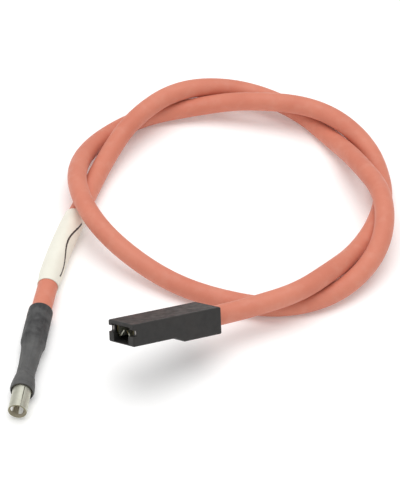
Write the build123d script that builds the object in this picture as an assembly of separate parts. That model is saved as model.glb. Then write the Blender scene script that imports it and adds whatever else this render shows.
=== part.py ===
from build123d import *
import math
import os

# Ignition lead: a blade-terminal housing on one end, a pin socket under a heat-shrink boot on the other.
# Millimetres, Z up. The lead lies on Z = 0, and X = Y = 0 is under the middle of its two end connectors.

# ---- cable
cable_diameter = 5.5
conductor_diameter = 1.3
jacket_bore = 1.4
arc_share = 0.45
strand_diameter = 0.26

# ---- gaps left between parts that touch
slip = 0.02

# ---- blade-terminal housing, in its own frame: X from the rear face to the mouth, Z through the top plate
housing_rear_centre = (23.05, 13.0, 10.95)
housing_heading = 220.9
housing_nose_up = 18.0
housing_roll = 27.7
housing_length = 28.75
housing_width = 10.8
housing_half_height = 3.6
housing_nose_floor = -2.2
step_start = 12.2
step_end = 15.2
housing_edge_radius = 0.45
cable_entry_diameter = 5.8
chamber_start = 8.0
chamber_half_width = 3.95
chamber_floor = -0.75
chamber_top = 2.7
channel_half_width = 3.1
channel_floor = -1.85
cheek_length = 1.35
cheek_radius = 0.5
notch_depth = 1.2
notch_low = 0.45
notch_high = 2.2
notch_radius = 0.45
lance_pocket_start = 20.2
lance_pocket_end = 23.6
lance_pocket_top = 3.15
lance_pocket_half_width = 1.2

# ---- blade receptacle, in the housing's frame; the grips' sizes are those of the sheet's middle line
sheet = 0.4
receptacle_rear = 19.5
receptacle_mouth = 27.2
receptacle_top = 2.6
base_middle = receptacle_top - sheet / 2
grip_half_width = 3.35
grip_shoulder_radius = 0.5
grip_bend_radius = 0.8
lip_tip = (0.6, 1.15)
base_behind_grips = 0.6
neck_start = 17.0
neck_overlap = 0.4
neck_half_width = 1.7
neck_floor = 0.4
neck_floor_half_width = 0.3
neck_barrel_half_width = 0.8
neck_barrel_top = 0.77
barrel_start = 12.6
barrel_diameter = 2.4
barrel_bore = 1.5
lance_width = 1.6
lance_rise = 0.45
lance_root = 23.1
lance_tip = 20.4
lance_tip_thickness = 0.28
detent_diameter = 1.6
spade_strands_start = 6.9
spade_strands_end = 16.4

# ---- socket end, in its own frame: X along the tail towards the socket's mouth, on the cable's axis
tail_x = -23.0
tail_y = 1.5
tail_z = 3.35
tail_jacket_end = -4.5
tube_diameter = 4.9
tube_bore = 4.1
tube_start = 10.6
tube_mouth = 20.1
socket_barrel_start = -1.5
socket_barrel_end = 7.6
socket_barrel_diameter = 2.8
socket_barrel_bore = 1.5
seam_width = 0.2
seam_angle = 67.0
seam_notch = 0.9
slot_width = 1.35
slot_length = 5.5
slot_from_mouth = 1.0
slot_corner_radius = 0.54
slot_angles = (208.0, 284.0)
mouth_edge_radius = 0.12

# ---- heat-shrink boot: radius at stations along the tail
boot_back = -16.85
boot_stations = (
    (-16.2, 3.35), (-4.1, 3.35), (-1.1, 2.72), (1.85, 2.53), (4.0, 2.43), (6.1, 2.39), (8.35, 2.55),
    (10.5, 3.05), (12.6, 3.2), (13.5, 3.2),
)
boot_wall = 0.45
boot_edge_radius = 0.2
lining_back = -16.5
lining_end = 13.1

# ---- marking sleeve, as lengths of cable back from the jacket's tail end
sleeve_near_end = 22.0
sleeve_far_end = 51.1
sleeve_diameter = 6.6
sleeve_bore = 5.6
sleeve_rim_diameter = 6.0
sleeve_taper = 4.0
sleeve_shoulder = 0.35

# ---- route of the cable: two loose turns, each crossing the other over and under by turns
route = [
    (18.3, 8.8, 13.0), (25.0, 14.7, 10.1), (34.5, 20.5, 9.0), (45.75, 26.75, 9.25), (54.0, 37.0, 8.25),
    (60.0, 49.0, 4.0), (65.25, 60.75, 4.25), (67.5, 76.5, 3.5), (61.5, 94.5, 6.25), (46.5, 106.0, 9.5),
    (24.25, 108.75, 8.0), (7.75, 108.5, 3.75), (-7.0, 102.75, 3.25), (-18.75, 89.25, 3.75),
    (-22.0, 72.25, 7.5), (-17.0, 55.0, 10.25), (-7.75, 43.0, 8.5), (6.75, 34.5, 4.0), (21.25, 28.75, 3.0),
    (41.0, 26.0, 2.75), (57.5, 33.5, 3.75), (67.5, 48.5, 7.25), (67.5, 66.75, 11.0), (58.5, 83.25, 9.0),
    (52.25, 97.75, 2.75), (39.0, 112.0, 3.25), (20.75, 116.5, 6.5), (3.25, 110.0, 9.5), (-8.5, 94.75, 8.75),
    (-14.5, 80.5, 4.5), (-17.75, 64.5, 3.35), (-21.5, 45.0, 3.35), (-23.0, 25.5, 3.35), (-23.0, 6.0, 3.35),
]


def housing_place():
    """Where the housing's frame lies on the lead."""
    turn = Rot(0, 0, housing_heading) * Rot(0, -housing_nose_up, 0) * Rot(housing_roll, 0, 0)
    return Pos(*housing_rear_centre) * turn


def tail_place():
    """Where the socket end's frame lies: its X runs along -Y."""
    return Pos(tail_x, tail_y, tail_z) * Rot(0, 0, -90)


def block(x_range, y_range, z_range):
    """A box between two values on each axis."""
    size = [high - low for low, high in (x_range, y_range, z_range)]
    middle = [(low + high) / 2 for low, high in (x_range, y_range, z_range)]
    return Pos(*middle) * Box(*size)


def rod(radius, start, end, y=0.0, z=0.0):
    """A round bar along X."""
    middle = Pos((start + end) / 2, y, z)
    return middle * Rot(0, 90, 0) * Cylinder(radius, end - start)


def cable_path(points):
    """Straight runs joined by arcs as large as the runs allow, and the arcs' radii."""
    corners = [Vector(*point) for point in points]
    radii = []
    for before, corner, after in zip(corners, corners[1:], corners[2:]):
        arriving = corner - before
        leaving = after - corner
        half_turn = math.radians(arriving.get_angle(leaving) / 2)
        shorter_run = min(arriving.length, leaving.length)
        radii.append(arc_share * shorter_run / math.tan(half_turn))
    return FilletPolyline(*corners, radius=radii), radii


def swept(path, diameter, bore=0.0):
    """A round bar or tube along a path."""
    plane = Plane(origin=path @ 0, z_dir=path % 0)
    section = Circle(diameter / 2)
    if bore:
        section -= Circle(bore / 2)
    return sweep(plane * section, path=path)


def lead_jacket(path):
    return swept(path, cable_diameter, jacket_bore)


def lead_conductor(path):
    return swept(path, conductor_diameter)


def strands(start, end):
    """Nineteen bare wires in a hexagonal bundle: one, six and twelve."""
    wires = [rod(strand_diameter / 2, start, end)]
    for ring in (1, 2):
        for side in range(6):
            corner = math.radians(60 * side)
            along = math.radians(60 * side + 120)
            for step in range(ring):
                y = strand_diameter * (ring * math.cos(corner) + step * math.cos(along))
                z = strand_diameter * (ring * math.sin(corner) + step * math.sin(along))
                wires.append(rod(strand_diameter / 2 - slip / 2, start, end, y, z))
    return Compound(children=wires)


def spade_housing():
    """Moulded nylon housing with a stepped underside: cheeks in its mouth, and bored for the cable behind."""
    half_width = housing_width / 2
    side = Polyline(
        (0, -housing_half_height),
        (step_start, -housing_half_height),
        (step_end, housing_nose_floor),
        (housing_length, housing_nose_floor),
        (housing_length, housing_half_height),
        (0, housing_half_height),
        close=True,
    )
    profile = make_face(Plane.XZ * side)
    body = extrude(profile, half_width, both=True)
    body = fillet(body.edges(), housing_edge_radius)
    body -= rod(cable_entry_diameter / 2, -1, chamber_start)
    past_mouth = housing_length + 1
    cheek_start = housing_length - cheek_length
    body -= extrude(across_at(chamber_start) * chamber_section(chamber_floor), cheek_start - chamber_start)
    body -= extrude(across_at(cheek_start) * chamber_section(notch_low), past_mouth - cheek_start)
    for hand in (-1, 1):
        wall = sorted((hand * chamber_half_width * 0.9, hand * (half_width + 1)))
        notch = block((housing_length - notch_depth, past_mouth), wall, (notch_low, notch_high))
        inner_edges = notch.edges().filter_by(Axis.Y).group_by(Axis.X)[0]
        body -= fillet(inner_edges, notch_radius)
    pocket_sides = (-lance_pocket_half_width, lance_pocket_half_width)
    pocket_heights = (chamber_top - slip, lance_pocket_top)
    body -= block((lance_pocket_start, lance_pocket_end), pocket_sides, pocket_heights)
    return housing_place() * body


def chamber_section(floor):
    """Section of the chamber: wide above that floor for the receptacle, and a narrower channel below it."""
    wide = Pos(0, (floor + chamber_top) / 2)
    section = wide * Rectangle(2 * chamber_half_width, chamber_top - floor)
    deep = Pos(0, (channel_floor + chamber_top) / 2)
    section += deep * Rectangle(2 * channel_half_width, chamber_top - channel_floor)
    cheek_corners = [
        corner
        for corner in section.vertices()
        if abs(abs(corner.X) - channel_half_width) < slip and abs(corner.Y - floor) < slip
    ]
    return fillet(cheek_corners, cheek_radius)


def across_at(x):
    """Plane across the housing: its X is the housing's Y, and its Y the housing's Z."""
    return Plane(origin=(x, 0, 0), x_dir=(0, 1, 0), z_dir=(1, 0, 0))


def grip():
    """Section of one grip: the base's sheet turned down at the side, round, and back up as a slanted lip."""
    tip_y, tip_z = lip_tip
    line = FilletPolyline(
        (0, base_middle),
        (grip_half_width, base_middle),
        (grip_half_width, tip_z - (grip_half_width - tip_y)),
        lip_tip,
        radius=[grip_shoulder_radius, grip_bend_radius],
    )
    return trace(line, sheet)


def spade_receptacle():
    """Sheet blade receptacle: base with a detent hole and a lance, two curled grips, neck and wire barrel."""
    half = extrude(across_at(receptacle_rear) * grip(), receptacle_mouth - receptacle_rear)
    body = half + mirror(half, about=Plane.XZ)
    base_start = receptacle_rear - base_behind_grips
    base_sides = (-neck_half_width, neck_half_width)
    body += block((base_start, receptacle_mouth), base_sides, (receptacle_top - sheet, receptacle_top))
    detent_x = (lance_pocket_end + receptacle_mouth) / 2
    body -= Pos(detent_x, 0, base_middle) * Cylinder(detent_diameter / 2, 2 * sheet)
    body += receptacle_neck(base_start)
    body += rod(barrel_diameter / 2, barrel_start, neck_start)
    body -= rod(barrel_bore / 2, barrel_start - 1, neck_start)
    body += receptacle_lance()
    return housing_place() * body


def receptacle_neck(base_start):
    """Trough that runs from the flat base down to the wire barrel: a V in section, wide at the grips."""
    at_grips = Polyline(
        (-neck_half_width, receptacle_top),
        (neck_half_width, receptacle_top),
        (neck_floor_half_width, neck_floor),
        (-neck_floor_half_width, neck_floor),
        close=True,
    )
    barrel_floor = slip - barrel_diameter / 2
    at_barrel = Polyline(
        (-neck_barrel_half_width, neck_barrel_top),
        (neck_barrel_half_width, neck_barrel_top),
        (neck_floor_half_width, barrel_floor),
        (-neck_floor_half_width, barrel_floor),
        close=True,
    )
    sections = []
    for x, outline in ((neck_start - neck_overlap, at_barrel), (base_start, at_grips)):
        sections.append(across_at(x) * make_face(outline))
    return loft(sections)


def receptacle_lance():
    """Tongue that springs from the base into the housing's pocket, free end to the rear."""
    tip_top = receptacle_top + lance_rise
    side = Polyline(
        (lance_root, base_middle),
        (lance_root, receptacle_top),
        (lance_tip, tip_top),
        (lance_tip, tip_top - lance_tip_thickness),
        close=True,
    )
    return extrude(make_face(Plane.XZ * side), lance_width / 2, both=True)


def turned(points, spline_part):
    """Face between the axis and an outline of stations and radii, with a smooth middle stretch."""
    first, last = spline_part
    smooth = Spline(*points[first:last + 1])
    lines = [Line(points[index], points[index + 1]) for index in range(first)]
    lines += [Line(points[index], points[index + 1]) for index in range(last, len(points) - 1)]
    start = (points[0][0], 0)
    end = (points[-1][0], 0)
    lines += [Line(start, points[0]), Line(points[-1], end), Line(end, start)]
    return make_face([*lines[:first], smooth, *lines[first:]])


def boot_core(shrink, back, front):
    """Solid inside the boot's outline shrunk by some amount, between two stations."""
    outline = [(x, radius - shrink) for x, radius in boot_stations]
    outline = [(back, outline[0][1])] + outline[1:-1] + [(front, outline[-1][1])]
    face = turned(outline, (1, len(outline) - 2))
    return revolve(Plane.XY * face, Axis.X)


def shrink_boot():
    """Heat-shrink boot: cylinder over the cable, waist over the crimp, bell over the socket."""
    front = boot_stations[-1][0]
    outer = boot_core(0, boot_back, front)
    rims = outer.edges().filter_by(GeomType.CIRCLE).sort_by(Axis.X)
    outer = fillet([rims[0], rims[-1]], boot_edge_radius)
    inner = boot_core(boot_wall, boot_back - 1, front + 1)
    return tail_place() * (outer - inner)


def boot_lining_solid():
    """Hot-melt lining that fills the room between the boot and what it covers."""
    body = boot_core(boot_wall + slip, lining_back, lining_end)
    body -= rod(cable_diameter / 2 + 2 * slip, boot_back, tail_jacket_end + slip)
    body -= rod(socket_barrel_diameter / 2 + slip, tail_jacket_end, tube_start)
    body -= socket_outside(slip)
    return tail_place() * body


def socket_outside(extra):
    """Solid outer shape of the rolled socket: neck cone and tube."""
    small = socket_barrel_diameter / 2 + extra
    large = tube_diameter / 2 + extra
    return cone_along_x(small, large) + rod(large, tube_start, tube_mouth + extra)


def cone_along_x(small, large):
    """A cone that widens from the end of the socket's barrel to the start of its tube."""
    middle = (socket_barrel_end + tube_start) / 2
    return Pos(middle, 0, 0) * Rot(0, 90, 0) * Cone(small, large, tube_start - socket_barrel_end)


def socket_cuts():
    """The seam with its relief notch, and the two spring slots: each cuts one side of the tube's wall."""
    low = tube_bore / 2 - (tube_diameter - tube_bore) / 4
    high = tube_diameter / 2 + 1
    seam = block((socket_barrel_end, tube_mouth + 1), (low, high), (-seam_width / 2, seam_width / 2))
    notch_place = Pos(tube_start + seam_notch, (low + high) / 2, 0) * Rot(90, 0, 0)
    seam += notch_place * Cylinder(seam_notch / 2, high - low)
    slot_end = tube_mouth - slot_from_mouth
    slot = block((slot_end - slot_length, slot_end), (low, high), (-slot_width / 2, slot_width / 2))
    slot = fillet(slot.edges().filter_by(Axis.Y), slot_corner_radius)
    cuts = [Rot(seam_angle, 0, 0) * seam]
    cuts += [Rot(angle, 0, 0) * slot for angle in slot_angles]
    return cuts


def socket_terminal():
    """Rolled-sheet pin socket: seamed tube with two spring slots, a neck and a closed wire barrel."""
    body = socket_outside(0)
    mouth_rim = body.edges().filter_by(GeomType.CIRCLE).sort_by(Axis.X)[-1]
    body = fillet(mouth_rim, mouth_edge_radius)
    body += rod(socket_barrel_diameter / 2, socket_barrel_start, socket_barrel_end)
    body -= cone_along_x(socket_barrel_bore / 2, tube_bore / 2)
    body -= rod(tube_bore / 2, tube_start, tube_mouth + 1)
    body -= rod(socket_barrel_bore / 2, socket_barrel_start - 1, socket_barrel_end)
    for cut in socket_cuts():
        body -= cut
    return tail_place() * body


def tapered_end(tube, end, inward, end_diameter, length):
    """The tube with its outside turned down to a smaller diameter at one end."""
    keep = Cone(end_diameter / 2, sleeve_diameter / 2 + slip, length)
    ring = Cylinder(sleeve_diameter, length) - keep
    return tube - Plane(origin=end, z_dir=inward).location * Pos(0, 0, length / 2) * ring


def marker_sleeve(path):
    """Marking sleeve shrunk on the cable: a short shoulder above, a lower rim that tapers to the cable."""
    near = 1 - sleeve_near_end / path.length
    far = 1 - sleeve_far_end / path.length
    tube = swept(path.trim(far, near), sleeve_diameter, sleeve_bore)
    tube = tapered_end(tube, path @ near, -(path % near), sleeve_rim_diameter, sleeve_taper)
    return tapered_end(tube, path @ far, path % far, sleeve_rim_diameter, sleeve_shoulder)


def main():
    path, radii = cable_path(route)
    print("cable arc radii", [round(radius, 1) for radius in radii], "smallest", round(min(radii), 1))
    print("cable length", round(path.length, 1))
    nodes = {
        "lead_jacket": lead_jacket(path),
        "lead_conductor": lead_conductor(path),
        "marker_sleeve": marker_sleeve(path),
        "spade_housing": spade_housing(),
        "spade_receptacle": spade_receptacle(),
        "spade_end_strands": housing_place() * strands(spade_strands_start, spade_strands_end),
        "socket_end_strands": tail_place() * strands(tail_jacket_end + slip, socket_barrel_end),
        "shrink_boot": shrink_boot(),
        "boot_lining": boot_lining_solid(),
        "socket_terminal": socket_terminal(),
    }
    ring_area = math.pi * (cable_diameter ** 2 - jacket_bore ** 2) / 4
    print("jacket volume", round(nodes["lead_jacket"].volume, 1))
    print("jacket section by length", round(ring_area * path.length, 1))
    os.makedirs("parts", exist_ok=True)
    for name, shape in nodes.items():
        export_step(shape, "parts/" + name + ".step")


main()
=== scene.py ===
import bmesh
import bpy
import math
from mathutils import Matrix, Vector, noise


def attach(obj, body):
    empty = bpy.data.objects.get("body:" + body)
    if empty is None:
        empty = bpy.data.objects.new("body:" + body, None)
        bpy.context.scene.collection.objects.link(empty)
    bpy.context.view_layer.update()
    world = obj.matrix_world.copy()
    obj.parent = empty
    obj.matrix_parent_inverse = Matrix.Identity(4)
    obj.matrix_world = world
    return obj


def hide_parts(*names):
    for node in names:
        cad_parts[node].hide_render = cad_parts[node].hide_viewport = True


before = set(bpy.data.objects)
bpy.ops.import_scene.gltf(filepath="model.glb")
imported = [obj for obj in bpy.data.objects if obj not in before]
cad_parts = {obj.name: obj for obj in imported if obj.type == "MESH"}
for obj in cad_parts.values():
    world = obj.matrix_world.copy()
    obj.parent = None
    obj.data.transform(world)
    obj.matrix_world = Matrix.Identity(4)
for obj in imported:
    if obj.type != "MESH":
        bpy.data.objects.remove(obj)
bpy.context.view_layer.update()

# Ignition lead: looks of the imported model. Metres, in the frame of the CAD model.

MM = 0.001

# ---- the cable, and its route: the control points of one smooth line
CABLE_DIAMETER = 5.5 * MM
CABLE_RADIUS = CABLE_DIAMETER / 2
CABLE_EXIT = (0.02305, 0.0130, 0.01095)
ROUTE = [
    (0.0183, 0.0088, 0.0130), (0.0250, 0.0147, 0.0101), (0.0345, 0.0205, 0.0090),
    (0.04575, 0.02675, 0.00925), (0.0540, 0.0370, 0.00825), (0.0600, 0.0490, 0.0040),
    (0.06525, 0.06075, 0.00425), (0.0675, 0.0765, 0.0035), (0.0615, 0.0945, 0.00625),
    (0.0465, 0.1060, 0.0095), (0.02425, 0.10875, 0.0080), (0.00775, 0.1085, 0.00375),
    (-0.0070, 0.10275, 0.00325), (-0.01875, 0.08925, 0.00375), (-0.0220, 0.07225, 0.0075),
    (-0.0170, 0.0550, 0.01025), (-0.00775, 0.0430, 0.0085), (0.00675, 0.0345, 0.0040),
    (0.02125, 0.02875, 0.0030), (0.0410, 0.0260, 0.00275), (0.0575, 0.0335, 0.00375),
    (0.0675, 0.0485, 0.00725), (0.0675, 0.06675, 0.0110), (0.0585, 0.08325, 0.0090),
    (0.05225, 0.09775, 0.00275), (0.0390, 0.1120, 0.00325), (0.02075, 0.1165, 0.0065),
    (0.00325, 0.1100, 0.0095), (-0.0085, 0.09475, 0.00875), (-0.0145, 0.0805, 0.0045),
    (-0.01775, 0.0645, 0.00335), (-0.0215, 0.0450, 0.00335), (-0.0230, 0.0255, 0.00335),
    (-0.0230, 0.0060, 0.00335),
]

# ---- where most values of a noise lie
NOISE_LOW = 0.3
NOISE_HIGH = 0.7

# ---- the housing: its rear centre is the cable's exit, X runs to its mouth and Z through its top
HOUSING_TURNS = ((220.9, "Z"), (-18.0, "Y"), (27.7, "X"))
HOUSING_MOUTH = 28.75 * MM

# ---- the room in the housing, painted deep black as shade
DARK_HALF_WIDTH = 3.95 * MM
DARK_FLOOR = -1.4 * MM
DARK_TOP = 3.15 * MM

# ---- the rear end of the notches in the housing's walls, and the painted highlight there
NOTCH_END = 27.55 * MM
GLEAM_OFF_MIDDLE = 4.65 * MM
GLEAM_HEIGHT = 1.32 * MM

# ---- the receptacle in the housing: its mouth, its base under painted shade, and the lit parts of its lips that stay bright
RECEPTACLE_MOUTH = 27.2 * MM
RECEPTACLE_BASE = 2.2 * MM
NEAR_LIP_REACH = 2.3 * MM
FAR_LIP_SPOT = 1.42 * MM
LIP_TOP = 1.8 * MM

# ---- the socket end: everything on it is round about one line along Y
TAIL_X = -23.0 * MM
TAIL_Y = 1.5 * MM
TAIL_Z = 3.35 * MM
SOCKET_RADIUS = 2.45 * MM
SOCKET_BORE_RADIUS = 2.05 * MM
SOCKET_MOUTH_Y = -18.6 * MM

# ---- camera: the middle of its view, its distance, height and bearing, and its lens
VIEW_MIDDLE = Vector((0.0167, 0.05035, 0.0))
VIEW_DISTANCE = 0.575
VIEW_ELEVATION = math.radians(43.0)
VIEW_BEARING = math.radians(6.16)
LENS = 147.6
NEAREST_IN_VIEW = 0.01

# ---- floor and light: each lamp has a name, a place, a size and a power in watts
FLOOR_SIZE = 6.0
FLOOR_GLOW = 0.1
WORLD_STRENGTH = 0.65
LAMPS = (
    ("overhead", (0.05, 0.1, 0.9), 0.9, 5.0),
    ("left_front", (-0.7, -0.5, 0.6), 0.6, 1.0),
)

# ---- colours, as sRGB values from 0 to 255
SALMON = (209, 130, 107)
SALMON_DEEP = (192, 108, 86)
SALMON_DUST = (218, 163, 145)
SLEEVE_WHITE = (232, 230, 217)
SLEEVE_SHADE = (220, 216, 201)
INK = (52, 42, 40)
BOOT_DARK = (48, 48, 49)
BOOT_GREY = (80, 80, 80)
BOOT_PALE = (93, 93, 92)
NYLON = (39, 38, 37)
NYLON_DUST = (52, 47, 44)
# painted shade: deep black for the room inside the housing
NYLON_PAINTED_SHADE = (14, 14, 10)
# painted highlight on the rear ends of the notches
NYLON_PAINTED_HIGHLIGHT = (196, 188, 182)
TIN = (206, 206, 193)
TIN_DULL = (188, 187, 172)
WIRE_DULL = (178, 166, 146)
# partly brass tint and partly painted shade, for the socket's bore
BORE_BRASS_AND_SHADE = (190, 183, 164)
# dark brass of cut edges, and painted shade, on the receptacle
BRASS_AND_PAINTED_SHADE = (84, 77, 46)
BRASS_RIM = (136, 130, 106)
GLUE = (98, 86, 68)
GLUE_DARK = (66, 56, 44)
FLOOR_PALE = (250, 250, 250)
FLOOR_CLOUD = (248, 248, 247)


# =====================================================================================
# materials
# =====================================================================================

def linear(colour):
    """A shader's colour from sRGB values from 0 to 255."""
    channels = []
    for value in colour:
        share = value / 255
        channels.append(share / 12.92 if share <= 0.04045 else ((share + 0.055) / 1.055) ** 2.4)
    return (*channels, 1.0)


class Finish:
    """A principled material that is built up by a few layers of noise in object space."""

    def __init__(self, name, metallic=0.0, roughness=0.5, **sockets):
        self.material = bpy.data.materials.new(name)
        self.material.use_nodes = True
        self.nodes = self.material.node_tree.nodes
        self.links = self.material.node_tree.links
        self.shader = self.nodes["Principled BSDF"]
        self.shader.inputs["Metallic"].default_value = metallic
        self.shader.inputs["Roughness"].default_value = roughness
        for socket, value in sockets.items():
            self.shader.inputs[socket.replace("_", " ")].default_value = value
        self.place = self.nodes.new("ShaderNodeTexCoord").outputs["Object"]
        self.normal = None

    # ---- what the shader takes

    def colour(self, value):
        """The colour over the whole surface."""
        self.links.new(value, self.shader.inputs["Base Color"])

    def glow(self, value):
        """The colour of the light that the surface gives off."""
        self.links.new(value, self.shader.inputs["Emission Color"])

    def metallic(self, value):
        """How metallic each place is."""
        self.links.new(value, self.shader.inputs["Metallic"])

    def uneven_roughness(self, scale, detail, smooth, rough):
        """Roughness that drifts with a noise between two values."""
        values = self.noise(scale, detail)
        roughness = self.spread(values, NOISE_LOW, NOISE_HIGH, smooth, rough)
        self.links.new(roughness, self.shader.inputs["Roughness"])

    def relief(self, scale, detail, depth, strength, stretch=None):
        """One more layer of bumps, as deep as depth in metres."""
        height = self.noise(scale, detail, stretch)
        node = self.nodes.new("ShaderNodeBump")
        node.inputs["Strength"].default_value = strength
        node.inputs["Distance"].default_value = depth
        self.links.new(height, node.inputs["Height"])
        if self.normal is not None:
            self.links.new(self.normal, node.inputs["Normal"])
        self.normal = node.outputs["Normal"]
        self.links.new(self.normal, self.shader.inputs["Normal"])

    # ---- places

    def stretched(self, stretch):
        """Object space with each axis scaled on its own."""
        mapping = self.nodes.new("ShaderNodeMapping")
        mapping.inputs["Scale"].default_value = stretch
        self.links.new(self.place, mapping.inputs["Vector"])
        return mapping.outputs["Vector"]

    def separate(self):
        """The three object coordinates."""
        node = self.nodes.new("ShaderNodeSeparateXYZ")
        self.links.new(self.place, node.inputs["Vector"])
        return node.outputs["X"], node.outputs["Y"], node.outputs["Z"]

    def housing_coordinates(self):
        """The three coordinates in the housing's own frame."""
        offset = self.nodes.new("ShaderNodeVectorMath")
        offset.operation = "SUBTRACT"
        self.links.new(self.place, offset.inputs[0])
        offset.inputs[1].default_value = CABLE_EXIT
        values = []
        for axis in housing_axes():
            along = self.nodes.new("ShaderNodeVectorMath")
            along.operation = "DOT_PRODUCT"
            self.links.new(offset.outputs["Vector"], along.inputs[0])
            along.inputs[1].default_value = axis
            values.append(along.outputs["Value"])
        return values

    # ---- values and masks

    def noise(self, scale, detail, stretch=None):
        """Values of a noise whose lumps are about 1 / scale across."""
        texture = self.nodes.new("ShaderNodeTexNoise")
        texture.inputs["Scale"].default_value = scale
        texture.inputs["Detail"].default_value = detail
        place = self.place if stretch is None else self.stretched(stretch)
        self.links.new(place, texture.inputs["Vector"])
        return texture.outputs["Fac"]

    def spread(self, values, low, high, new_low, new_high):
        """Values mapped from one range to another, and clamped there."""
        node = self.nodes.new("ShaderNodeMapRange")
        limits = {"From Min": low, "From Max": high, "To Min": new_low, "To Max": new_high}
        for name, value in limits.items():
            node.inputs[name].default_value = value
        self.links.new(values, node.inputs["Value"])
        return node.outputs["Result"]

    def rising(self, values, low, high, most=1.0):
        """0 where the values are below low, and most where they are above high."""
        return self.spread(values, low, high, 0.0, most)

    def falling(self, values, low, high):
        """1 where the values are below low, and 0 where they are above high."""
        return self.spread(values, low, high, 1.0, 0.0)

    def close_to(self, values, middle, full, none):
        """1 where the values are within full of a middle, and 0 where they are none or more off it."""
        off_middle = self.arithmetic("ABSOLUTE", self.arithmetic("SUBTRACT", values, middle))
        return self.falling(off_middle, full, none)

    def patches(self, scale, detail, low=NOISE_LOW, high=NOISE_HIGH, most=1.0, stretch=None):
        """Soft patches: 0 where a noise is below low, and most where it is above high."""
        return self.rising(self.noise(scale, detail, stretch), low, high, most)

    def arithmetic(self, operation, first, second=None):
        """One step of arithmetic on values or numbers."""
        node = self.nodes.new("ShaderNodeMath")
        node.operation = operation
        for socket, value in zip(node.inputs, (first, second)):
            if value is None:
                continue
            if isinstance(value, (int, float)):
                socket.default_value = value
            else:
                self.links.new(value, socket)
        return node.outputs["Value"]

    def both(self, first, second):
        """Where two masks overlap."""
        return self.arithmetic("MULTIPLY", first, second)

    def either(self, first, second):
        """Where there is one mask or the other."""
        return self.arithmetic("MAXIMUM", first, second)

    def mixed(self, share, first, second):
        """A colour between two colours, each given as sRGB values or by another node."""
        node = self.nodes.new("ShaderNodeMix")
        node.data_type = "RGBA"
        self.links.new(share, node.inputs["Factor"])
        for socket, value in (("A", first), ("B", second)):
            target = next(i for i in node.inputs if i.name == socket and i.type == "RGBA")
            if isinstance(value, tuple):
                target.default_value = linear(value)
            else:
                self.links.new(value, target)
        return next(o for o in node.outputs if o.type == "RGBA")


def housing_axes():
    """The housing's own X, Y and Z."""
    turn = Matrix.Identity(3)
    for degrees, axis in HOUSING_TURNS:
        turn = turn @ Matrix.Rotation(math.radians(degrees), 3, axis)
    return [turn.col[index] for index in range(3)]


def silicone():
    """Satin silicone: cloudy, with a faint bloom of dust, a few dark specks and a fine grain."""
    finish = Finish("silicone", Specular_IOR_Level=0.3, Sheen_Weight=0.1, Sheen_Roughness=0.4)
    clouds = finish.patches(scale=70, detail=5, low=0.35, high=0.7, most=0.55)
    bloom = finish.patches(scale=330, detail=6, low=0.5, high=0.78, most=0.22)
    specks = finish.patches(scale=2400, detail=2, low=0.7, high=0.76, most=0.5)
    cloudy = finish.mixed(clouds, SALMON, SALMON_DEEP)
    dusty = finish.mixed(bloom, cloudy, SALMON_DUST)
    finish.colour(finish.mixed(specks, dusty, SALMON_DEEP))
    finish.uneven_roughness(scale=400, detail=4, smooth=0.44, rough=0.66)
    finish.relief(scale=3500, detail=3, depth=0.02 * MM, strength=0.5)
    finish.relief(scale=160, detail=2, depth=0.15 * MM, strength=0.5)
    return finish.material


def sleeve_tubing():
    """Off-white shrink tubing with one pen line; U runs round the sleeve and V along it."""
    finish = Finish("sleeve_tubing")
    clouds = finish.patches(scale=220, detail=3, low=0.3, high=0.75, most=0.5)
    plain = finish.mixed(clouds, SLEEVE_WHITE, SLEEVE_SHADE)
    finish.colour(finish.mixed(pen_line(finish), plain, INK))
    finish.uneven_roughness(scale=700, detail=3, smooth=0.4, rough=0.6)
    finish.relief(scale=1400, detail=3, depth=0.02 * MM, strength=0.6)
    return finish.material


def pen_line(finish):
    """Mask of one pen stroke: a slow wave along the sleeve, with soft ends and an uneven edge."""
    middle, swing, waves = 0.105, -0.045, 1.35
    start, fade_in, stop, fade_out = 0.09, 0.015, 0.86, 0.03
    half_width, softness, unevenness = 0.015, 0.005, 0.003
    uv = finish.nodes.new("ShaderNodeUVMap")
    parts = finish.nodes.new("ShaderNodeSeparateXYZ")
    finish.links.new(uv.outputs["UV"], parts.inputs["Vector"])
    around, along = parts.outputs["X"], parts.outputs["Y"]
    wave = finish.arithmetic("SINE", finish.arithmetic("MULTIPLY", along, waves * 2 * math.pi))
    line = finish.arithmetic("ADD", finish.arithmetic("MULTIPLY", wave, swing), middle)
    off_line = finish.arithmetic("ABSOLUTE", finish.arithmetic("SUBTRACT", around, line))
    ragged = finish.noise(scale=1800, detail=3)
    ragged = finish.spread(ragged, NOISE_LOW, NOISE_HIGH, -unevenness, unevenness)
    off_line = finish.arithmetic("ADD", off_line, ragged)
    stroke = finish.falling(off_line, half_width - softness, half_width)
    begins = finish.rising(along, start, start + fade_in)
    ends = finish.falling(along, stop, stop + fade_out)
    return finish.both(stroke, finish.both(begins, ends))


def shrink_tubing():
    """Dark grey shrink tubing: dusty, with fine folds, paler where it is stretched over the crimp."""
    shoulder_front, shoulder_back = 3.0 * MM, 6.5 * MM
    streak_stretch, fold_stretch = (1.0, 0.25, 1.0), (1.0, 0.5, 1.0)
    finish = Finish("shrink_tubing", Specular_IOR_Level=0.3)
    blotches = finish.patches(scale=420, detail=5, low=0.35, high=0.68)
    streaks = finish.patches(
        scale=1300, detail=4, low=0.4, high=0.65, most=0.6, stretch=streak_stretch,
    )
    dust = finish.either(blotches, streaks)
    body = finish.mixed(dust, BOOT_DARK, BOOT_GREY)
    waist = finish.mixed(dust, BOOT_GREY, BOOT_PALE)
    y = finish.separate()[1]
    finish.colour(finish.mixed(finish.falling(y, shoulder_front, shoulder_back), body, waist))
    finish.uneven_roughness(scale=500, detail=4, smooth=0.5, rough=0.75)
    finish.relief(scale=1100, detail=5, depth=0.08 * MM, strength=0.6, stretch=fold_stretch)
    finish.relief(scale=3200, detail=3, depth=0.02 * MM, strength=0.5)
    return finish.material


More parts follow.
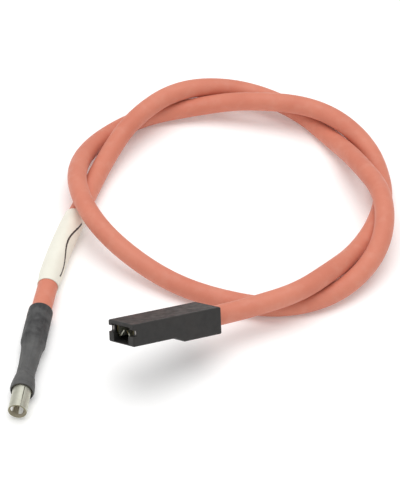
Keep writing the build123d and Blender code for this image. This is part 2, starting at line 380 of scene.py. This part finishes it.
def moulded_nylon():
    """Black moulded nylon: a fine etched grain and a slight grey bloom, painted shade deep black
    inside, and a painted highlight on each notch's rear end.
    """
    finish = Finish("moulded_nylon", Specular_IOR_Level=0.4)
    bloom = finish.patches(scale=180, detail=5, low=0.4, high=0.75, most=0.45)
    skin = finish.mixed(bloom, NYLON, NYLON_DUST)
    along, across, up = finish.housing_coordinates()
    off_middle = finish.arithmetic("ABSOLUTE", across)
    # painted shade: the room inside the housing is painted deep black
    inside = chamber_painted_shade(finish, along, off_middle, up)
    # painted highlight: a pale spot on the rear end of each notch
    lit_spot = notch_gleam(finish, along, off_middle, up)
    finish.colour(finish.mixed(lit_spot, finish.mixed(inside, skin, NYLON_PAINTED_SHADE), NYLON_PAINTED_HIGHLIGHT))
    finish.uneven_roughness(scale=600, detail=4, smooth=0.45, rough=0.65)
    finish.relief(scale=5000, detail=2, depth=0.02 * MM, strength=0.7)
    return finish.material


def chamber_painted_shade(finish, along, off_middle, up):
    """Mask of the painted shade in the room in the housing, which is least at its mouth."""
    margin = 0.03 * MM
    full_depth, least_depth, least = 2.0 * MM, 0.3 * MM, 0.25
    between_walls = finish.arithmetic("LESS_THAN", off_middle, DARK_HALF_WIDTH + margin)
    above_floor = finish.arithmetic("GREATER_THAN", up, DARK_FLOOR - margin)
    below_top = finish.arithmetic("LESS_THAN", up, DARK_TOP + margin)
    deepest, shallowest = HOUSING_MOUTH - full_depth, HOUSING_MOUTH - least_depth
    depth = finish.spread(along, deepest, shallowest, 1.0, least)
    return finish.both(finish.both(between_walls, depth), finish.both(above_floor, below_top))


def notch_gleam(finish, along, off_middle, up):
    """Mask of the painted highlight on the rear end of each notch in the walls."""
    behind, faded, margin = 0.12 * MM, 0.05 * MM, 0.05 * MM
    near_end = finish.rising(along, NOTCH_END - behind, NOTCH_END - faded)
    not_past = finish.arithmetic("LESS_THAN", along, NOTCH_END + margin)
    in_wall = finish.close_to(off_middle, GLEAM_OFF_MIDDLE, full=0.1 * MM, none=0.3 * MM)
    in_height = finish.close_to(up, GLEAM_HEIGHT, full=0.3 * MM, none=0.65 * MM)
    return finish.both(finish.both(near_end, not_past), finish.both(in_wall, in_height))


def tinned_sheet(name):
    """A satin metal with fine scratches, and the cloudy colour of tinned sheet brass."""
    finish = Finish(name, metallic=1.0)
    clouds = finish.patches(scale=450, detail=4, low=0.35, high=0.7, most=0.8)
    finish.uneven_roughness(scale=900, detail=4, smooth=0.48, rough=0.64)
    scratches = (1.0, 0.06, 1.0)
    finish.relief(scale=2500, detail=3, depth=0.01 * MM, strength=0.5, stretch=scratches)
    return finish, finish.mixed(clouds, TIN, TIN_DULL)


def tinned_socket():
    """The socket's sheet: its bore a darker brown, partly brass tint and partly painted shade, and
    duller brass on its cut mouth.
    """
    bore_and_rim_metallic = 0.35
    finish, tin = tinned_sheet("tinned_socket")
    x, y, z = finish.separate()
    off_x = finish.arithmetic("POWER", finish.arithmetic("SUBTRACT", x, TAIL_X), 2)
    off_z = finish.arithmetic("POWER", finish.arithmetic("SUBTRACT", z, TAIL_Z), 2)
    radius = finish.arithmetic("SQRT", finish.arithmetic("ADD", off_x, off_z))
    bore = finish.falling(radius, SOCKET_BORE_RADIUS + 0.08 * MM, SOCKET_RADIUS - 0.06 * MM)
    rim = finish.falling(y, SOCKET_MOUTH_Y + 0.02 * MM, SOCKET_MOUTH_Y + 0.08 * MM)
    # the bore's darker brown is partly brass tint and partly painted shade
    finish.colour(finish.mixed(rim, finish.mixed(bore, tin, BORE_BRASS_AND_SHADE), BRASS_RIM))
    finish.metallic(finish.spread(finish.either(bore, rim), 0.0, 1.0, 1.0, bore_and_rim_metallic))
    return finish.material


def tinned_receptacle():
    """The receptacle's sheet: dark on its cut front, partly bare brass and partly painted shade,
    painted shade on its base, and bright tin where light catches its lips.
    """
    finish, tin = tinned_sheet("tinned_receptacle")
    along, across, up = finish.housing_coordinates()
    off_middle = finish.arithmetic("ABSOLUTE", across)
    near_side = finish.arithmetic("LESS_THAN", across, 0.0)
    near_lip = finish.falling(off_middle, NEAR_LIP_REACH - 0.1 * MM, NEAR_LIP_REACH)
    far_lip = finish.close_to(across, FAR_LIP_SPOT, full=0.12 * MM, none=0.32 * MM)
    lips = finish.either(finish.both(near_side, near_lip), far_lip)
    # the lit parts of the lips keep the bright tin; the rest of the far lip's front gets painted shade
    lit_spot = finish.both(lips, finish.falling(up, LIP_TOP - 0.05 * MM, LIP_TOP + 0.05 * MM))
    front = finish.rising(along, RECEPTACLE_MOUTH - 0.1 * MM, RECEPTACLE_MOUTH - 0.04 * MM)
    # dark front: partly the brass of the cut edges, partly painted shade
    brass_and_shaded_front = finish.both(front, finish.arithmetic("SUBTRACT", 1.0, lit_spot))
    # painted shade on the base, under the housing's top
    shaded_base = finish.rising(up, RECEPTACLE_BASE - 0.1 * MM, RECEPTACLE_BASE - 0.05 * MM)
    finish.colour(finish.mixed(finish.either(brass_and_shaded_front, shaded_base), tin, BRASS_AND_PAINTED_SHADE))
    return finish.material


def tinned_wire():
    """Tinned copper wire, bright and a little uneven."""
    finish = Finish("tinned_wire", metallic=1.0, roughness=0.3)
    clouds = finish.patches(scale=1500, detail=3)
    finish.colour(finish.mixed(clouds, TIN, WIRE_DULL))
    finish.relief(scale=6000, detail=2, depth=0.01 * MM, strength=0.5)
    return finish.material


def hot_melt():
    """Brown hot-melt glue, wet looking and slightly lumpy."""
    finish = Finish("hot_melt", roughness=0.3)
    clouds = finish.patches(scale=700, detail=4)
    finish.colour(finish.mixed(clouds, GLUE, GLUE_DARK))
    finish.relief(scale=1200, detail=3, depth=0.05 * MM, strength=0.6)
    return finish.material


def pale_floor():
    """A plain pale floor that glows a little, which keeps it bright."""
    finish = Finish("pale_floor", roughness=0.9, Emission_Strength=FLOOR_GLOW)
    clouds = finish.patches(scale=3, detail=3)
    colour = finish.mixed(clouds, FLOOR_PALE, FLOOR_CLOUD)
    finish.colour(colour)
    finish.glow(colour)
    return finish.material


def dress(piece, material):
    """The piece has that material alone."""
    piece.data.materials.clear()
    piece.data.materials.append(material)


# =====================================================================================
# meshes
# =====================================================================================

def ring_shell(name, rings, material, uvs=None):
    """A closed shell through rings of points: each joins the next, and the last the first."""
    count = len(rings[0])
    points = [point for ring in rings for point in ring]
    faces = []
    for index in range(len(rings)):
        following = (index + 1) % len(rings)
        for step in range(count):
            beside = (step + 1) % count
            faces.append((
                index * count + step,
                index * count + beside,
                following * count + beside,
                following * count + step,
            ))
    mesh = bpy.data.meshes.new(name)
    mesh.from_pydata(points, [], faces)
    if uvs is not None:
        layer = mesh.uv_layers.new(name="UVMap")
        for face_index, polygon in enumerate(mesh.polygons):
            index, step = divmod(face_index, count)
            corners = ((index, step), (index, step + 1), (index + 1, step + 1), (index + 1, step))
            for loop, (ring, around) in zip(polygon.loop_indices, corners):
                layer.data[loop].uv = (around / count, uvs[ring % len(rings)])
    face_outwards(mesh)
    piece = bpy.data.objects.new(name, mesh)
    bpy.context.collection.objects.link(piece)
    dress(piece, material)
    return piece


def face_outwards(mesh):
    """Every face of a closed mesh looks outwards, with smooth shading."""
    shell = bmesh.new()
    shell.from_mesh(mesh)
    bmesh.ops.recalc_face_normals(shell, faces=shell.faces)
    shell.to_mesh(mesh)
    shell.free()
    mesh.shade_smooth()


def circle(middle, across, up, radius_at, count):
    """Points round a middle. The radius depends on the angle: 0 at across, a quarter turn at up."""
    points = []
    for step in range(count):
        angle = 2 * math.pi * step / count
        radius = radius_at(angle)
        sideways = across * (radius * math.cos(angle))
        points.append(middle + sideways + up * (radius * math.sin(angle)))
    return points


def smooth_step(value, low, high):
    """From 0 to 1 as value goes from low to high, with no corner."""
    share = min(max((value - low) / (high - low), 0.0), 1.0)
    return share * share * (3 - 2 * share)


def dent(value, middle, half_width):
    """A smooth bump of height 1 about a middle."""
    off = abs(value - middle) / half_width
    return 0.0 if off >= 1 else (1 - off * off) ** 2


def angle_gap(first, second):
    """The angle between two directions round a circle."""
    return abs((first - second + math.pi) % (2 * math.pi) - math.pi)


def skin_noise(station, angle, around, along, start=0.0):
    """A noise on a round skin, with a pace around and along; another start gives another pattern."""
    round_x, round_y = around * math.cos(angle), around * math.sin(angle)
    return noise.noise(Vector((round_x, round_y, station * along + start)))


# =====================================================================================
# cable
# =====================================================================================

def route_curve(name, thickness):
    """The route as one open NURBS line, as thick as asked."""
    data = bpy.data.curves.new(name, "CURVE")
    data.dimensions = "3D"
    spline = data.splines.new("NURBS")
    spline.points.add(len(ROUTE) - 1)
    for point, place in zip(spline.points, ROUTE):
        point.co = (*place, 1.0)
    spline.order_u = 3
    spline.use_endpoint_u = True
    data.resolution_u = 16
    data.bevel_depth = thickness / 2
    data.bevel_resolution = 14
    data.use_fill_caps = thickness > 0
    piece = bpy.data.objects.new(name, data)
    bpy.context.collection.objects.link(piece)
    return piece


def route_line():
    """Points along the route's smooth line, with their distances from its far end."""
    guide = route_curve("guide", 0.0)
    bpy.context.view_layer.update()
    evaluated = guide.evaluated_get(bpy.context.evaluated_depsgraph_get())
    mesh = bpy.data.meshes.new_from_object(evaluated)
    points = [vertex.co.copy() for vertex in mesh.vertices]
    bpy.data.meshes.remove(mesh)
    bpy.data.objects.remove(guide)
    points.reverse()
    distances = [0.0]
    for before, after in zip(points, points[1:]):
        distances.append(distances[-1] + (after - before).length)
    return points, distances


def place_on(line, distance):
    """The point at a distance along a line, and the direction there."""
    points, distances = line
    index = max(i for i, value in enumerate(distances[:-1]) if value <= distance)
    before, after = points[index], points[index + 1]
    share = (distance - distances[index]) / (distances[index + 1] - distances[index])
    earlier, later = points[max(index - 1, 0)], points[min(index + 2, len(points) - 1)]
    first = (after - earlier).normalized()
    second = (later - before).normalized()
    return before.lerp(after, share), first.lerp(second, share).normalized()


def make_cable():
    """The cable, from inside the housing to inside the boot."""
    cable = route_curve("cable", CABLE_DIAMETER)
    dress(cable, silicone())
    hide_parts("lead_jacket")
    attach(cable, "root")
    return cable


# =====================================================================================
# marking sleeve
# =====================================================================================

def make_sleeve(line):
    """Shrink sleeve on the cable, a little wavy: drawn in at its near end, rounded at the other."""
    near, far = 22.0 * MM, 51.1 * MM
    inner, body, rim = CABLE_RADIUS + 0.03 * MM, 3.27 * MM, 2.98 * MM
    drawn_length = 4.5 * MM
    shoulder_depth, shoulder_start, shoulder_end = 0.3 * MM, -0.2 * MM, 0.9 * MM
    ripple_height, ripples_round, ripples_along = 0.035 * MM, 2, 9
    count, stations = 96, 130
    outside, inside, marks = [], [], []
    for station in range(stations + 1):
        share = station / stations
        middle, along = place_on(line, near + (far - near) * share)
        across = along.cross(Vector((0, 0, 1))).normalized()
        up = across.cross(along).normalized()
        from_near, from_far = (far - near) * share, (far - near) * (1 - share)
        drawn = (body - rim) * (1 - smooth_step(from_near, 0, drawn_length))
        rounded = (1 - smooth_step(from_far, shoulder_start, shoulder_end)) ** 2
        plain = body - drawn - shoulder_depth * rounded

        def radius_at(angle):
            return plain + ripple_height * skin_noise(share, angle, ripples_round, ripples_along)

        outside.append(circle(middle, across, up, radius_at, count))
        inside.append(circle(middle, across, up, lambda angle: inner, count))
        marks.append(share)
    rings = outside + inside[::-1]
    sleeve = ring_shell("marking_sleeve", rings, sleeve_tubing(), marks + marks[::-1])
    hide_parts("marker_sleeve")
    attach(sleeve, "root")
    return sleeve


# =====================================================================================
# heat-shrink boot and its lining
# =====================================================================================

# Distance towards the socket's mouth from TAIL_Y, and the boot's radius there, in millimetres.
BOOT_PROFILE = (
    (-16.85, 3.05), (-16.6, 3.27), (-16.15, 3.34), (-11.0, 3.36), (-4.5, 3.35), (-3.6, 3.24),
    (-2.4, 2.9), (-1.1, 2.7), (1.85, 2.53), (4.0, 2.43), (6.1, 2.39), (7.4, 2.45),
    (8.6, 2.62), (10.2, 3.0), (11.4, 3.14), (12.6, 3.2), (13.1, 3.17), (13.5, 3.0),
)
BOOT_WALL = 0.45 * MM

# Where the boot has most of its folds: the middle and the reach of its waist and of its shoulder.
BOOT_WAIST = (2.5, 9.0)
BOOT_SHOULDER = (-3.4, 3.2)
# The slanting line round the boot where its bell starts, and how far it swings.
BELL_LINE = 6.6
BELL_SWING = 0.4
# Each dimple: depth, station and half length in millimetres, bearing and half width in radians.
BOOT_DIMPLES = (
    (0.34, -5.6, 2.2, math.radians(28), 0.5),
    (0.18, -7.5, 3.5, math.radians(150), 0.4),
)
# The same for the creases, whose stations count from the slanting line.
BOOT_CREASES = (
    (0.2, 0.0, 0.5, math.radians(80), 1.2),
    (0.14, 1.2, 0.4, math.radians(60), 0.8),
)


def profile_radius(station):
    """The boot's radius at a station, on a smooth line through its profile."""
    stations = [pair[0] for pair in BOOT_PROFILE]
    radii = [pair[1] for pair in BOOT_PROFILE]
    passed = sum(1 for value in stations if value <= station)
    index = min(max(passed - 1, 0), len(stations) - 2)
    span = stations[index + 1] - stations[index]
    share = (station - stations[index]) / span

    def slope(corner):
        low, high = max(corner - 1, 0), min(corner + 1, len(stations) - 1)
        return (radii[high] - radii[low]) / (stations[high] - stations[low])

    square, cube = share ** 2, share ** 3
    value = (2 * cube - 3 * square + 1) * radii[index]
    value += (cube - 2 * square + share) * span * slope(index)
    value += (3 * square - 2 * cube) * radii[index + 1]
    value += (cube - square) * span * slope(index + 1)
    return value * MM


def boot_relief(station, angle):
    """How far the boot's skin stands out from its profile: folds, hollows, a ridge and a groove."""
    waist = dent(station, *BOOT_WAIST)
    shoulder = dent(station, *BOOT_SHOULDER)
    folds = skin_noise(station, angle, around=2.6, along=0.09)
    fine = skin_noise(station, angle, around=6, along=0.22, start=7)
    lumps = skin_noise(station, angle, around=1.3, along=0.45, start=3)
    relief = (0.05 + 0.22 * waist + 0.1 * shoulder) * folds
    relief += (0.03 + 0.06 * waist) * fine + 0.05 * lumps
    slant = BELL_LINE + BELL_SWING * math.sin(angle * 2.0)
    for line, hollows in ((0.0, BOOT_DIMPLES), (slant, BOOT_CREASES)):
        for depth, middle, half_length, bearing, half_width in hollows:
            beside = dent(angle_gap(angle, bearing), 0, half_width)
            relief -= depth * dent(station, line + middle, half_length) * beside
    ridge = dent(station, slant + 2.0, 0.5)
    groove = dent(station, 12.35, 0.3)
    return (relief + 0.1 * ridge - 0.09 * groove) * MM


def boot_reach(angle):
    """How many millimetres further the bell's edge reaches at an angle; least at the top."""
    return 0.25 * (1 - math.sin(angle)) + 0.12 * skin_noise(0, angle, around=1, along=0, start=5)


def tail_point(station, radius, angle):
    """A point of the socket end, at a station in millimetres towards its mouth."""
    x = TAIL_X + radius * math.cos(angle)
    return Vector((x, TAIL_Y - station * MM, TAIL_Z + radius * math.sin(angle)))


def tail_ring(count, station_at, radius_at):
    """One ring of points round the socket end's line."""
    points = []
    for step in range(count):
        angle = 2 * math.pi * step / count
        points.append(tail_point(station_at(angle), radius_at(angle), angle))
    return points


def make_boot():
    """Heat-shrink boot: its folded skin stays above the floor, and its bell ends unevenly."""
    back, front = BOOT_PROFILE[0][0], BOOT_PROFILE[-1][0]
    bell_length, set_back, smooth_start = 3.5, 0.5, 0.6
    edge_length, edge_rounding = 0.3, 0.12 * MM
    cable_end, cable_room = -4.0, CABLE_RADIUS + 0.05 * MM
    wall_end = front - 0.5
    count, steps = 128, 190
    outside, inside = [], []
    for step in range(steps + 1):
        station = back + (front - back) * step / steps
        pulled = smooth_step(station, front - bell_length, front)
        fade = smooth_step(station, back, back + smooth_start)

        def station_at(angle):
            return station - set_back * pulled + boot_reach(angle) * pulled

        def skin(angle):
            to_floor = TAIL_Z / max(-math.sin(angle), 1e-6) if angle > math.pi else 1.0
            return min(profile_radius(station) + boot_relief(station, angle) * fade, to_floor)

        def lining(angle):
            rounding = edge_rounding * (1 - smooth_step(front - station, 0, edge_length))
            least = cable_room if station < cable_end else 0.0
            return max(profile_radius(min(station, wall_end)) - BOOT_WALL + rounding, least)

        outside.append(tail_ring(count, station_at, skin))
        inside.append(tail_ring(count, station_at, lining))
    boot = ring_shell("heat_shrink_boot", outside + inside[::-1], shrink_tubing())
    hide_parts("shrink_boot")
    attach(boot, "root")
    return boot


def make_lining():
    """Hot-melt glue: an uneven ring round the socket in the boot's bell, and a bead at its back."""
    slip = 0.01 * MM
    in_bell = make_bead("glue_bell", 8.6, 12.7, SOCKET_RADIUS + slip)
    at_back = make_bead("glue_back", -17.1, -14.2, CABLE_RADIUS + slip)
    for bead in (in_bell, at_back):
        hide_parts("boot_lining")
        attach(bead, "root")


def make_bead(name, start, stop, inner):
    """One ring of glue between two stations in millimetres, from an inner radius to the boot's wall."""
    first_wall, last_wall, overlap = -16.15, 13.0, 0.03 * MM
    sunk_depth, sunk_share, wobble_height = 0.16 * MM, 0.12, 0.12
    count, steps = 96, 24
    outside, inside = [], []
    for step in range(steps + 1):
        station = start + (stop - start) * step / steps
        towards_end = min(step, steps - step) / steps

        def station_at(angle):
            wobble = skin_noise(start, angle, around=1.7, along=1)
            return station + wobble_height * wobble * step / steps

        def outer(angle):
            wall = profile_radius(min(max(station, first_wall), last_wall)) - BOOT_WALL + overlap
            sunk = sunk_depth * (1 - smooth_step(towards_end, 0.0, sunk_share))
            return max(wall - sunk, inner + overlap)

        outside.append(tail_ring(count, station_at, outer))
        inside.append(tail_ring(count, station_at, lambda angle: inner))
    return ring_shell(name, outside + inside[::-1], hot_melt())


# =====================================================================================
# CAD parts that stay as they are
# =====================================================================================

def dress_cad_parts():
    """New materials on the CAD parts that show as they are."""
    wire = tinned_wire()
    for node, material in (
        ("spade_housing", moulded_nylon()),
        ("spade_receptacle", tinned_receptacle()),
        ("socket_terminal", tinned_socket()),
        ("spade_end_strands", wire),
        ("socket_end_strands", wire),
        ("lead_conductor", wire),
    ):
        dress(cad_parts[node], material)


# =====================================================================================
# stage, light and camera
# =====================================================================================

def make_stage():
    """A plain pale floor."""
    bpy.ops.mesh.primitive_plane_add(size=FLOOR_SIZE, location=(0, 0, 0))
    floor = bpy.context.object
    floor.name = "floor"
    dress(floor, pale_floor())


def soft_light(name, place, size, power):
    """A round lamp of that size and power, aimed at the middle of the view."""
    data = bpy.data.lights.new(name, "AREA")
    data.shape = "DISK"
    data.size = size
    data.energy = power
    lamp = bpy.data.objects.new(name, data)
    lamp.location = place
    lamp.rotation_euler = (VIEW_MIDDLE - Vector(place)).to_track_quat("-Z", "Y").to_euler()
    bpy.context.collection.objects.link(lamp)


def make_light():
    """Even white light from all round, and the lamps."""
    world = bpy.data.worlds.new("studio")
    world.use_nodes = True
    background = world.node_tree.nodes["Background"]
    background.inputs["Color"].default_value = (1.0, 1.0, 1.0, 1.0)
    background.inputs["Strength"].default_value = WORLD_STRENGTH
    bpy.context.scene.world = world
    for name, place, size, power in LAMPS:
        soft_light(name, place, size, power)


def make_camera():
    """The camera stands south of the middle of its view, turned by its bearing, and looks down."""
    flat = VIEW_DISTANCE * math.cos(VIEW_ELEVATION)
    height = VIEW_DISTANCE * math.sin(VIEW_ELEVATION)
    away = Vector((flat * math.sin(VIEW_BEARING), -flat * math.cos(VIEW_BEARING), height))
    data = bpy.data.cameras.new("camera")
    data.lens = LENS
    data.clip_start = NEAREST_IN_VIEW
    camera = bpy.data.objects.new("camera", data)
    camera.location = VIEW_MIDDLE + away
    camera.rotation_euler = (-away).to_track_quat("-Z", "Y").to_euler()
    bpy.context.collection.objects.link(camera)
    bpy.context.scene.camera = camera


def main():
    """The stage, the detailed pieces and the looks of the CAD parts."""
    bpy.context.scene.view_settings.view_transform = "Standard"
    make_camera()
    make_stage()
    make_light()
    cable = make_cable()
    line = route_line()
    sleeve = make_sleeve(line)
    boot = make_boot()
    make_lining()
    dress_cad_parts()


main()
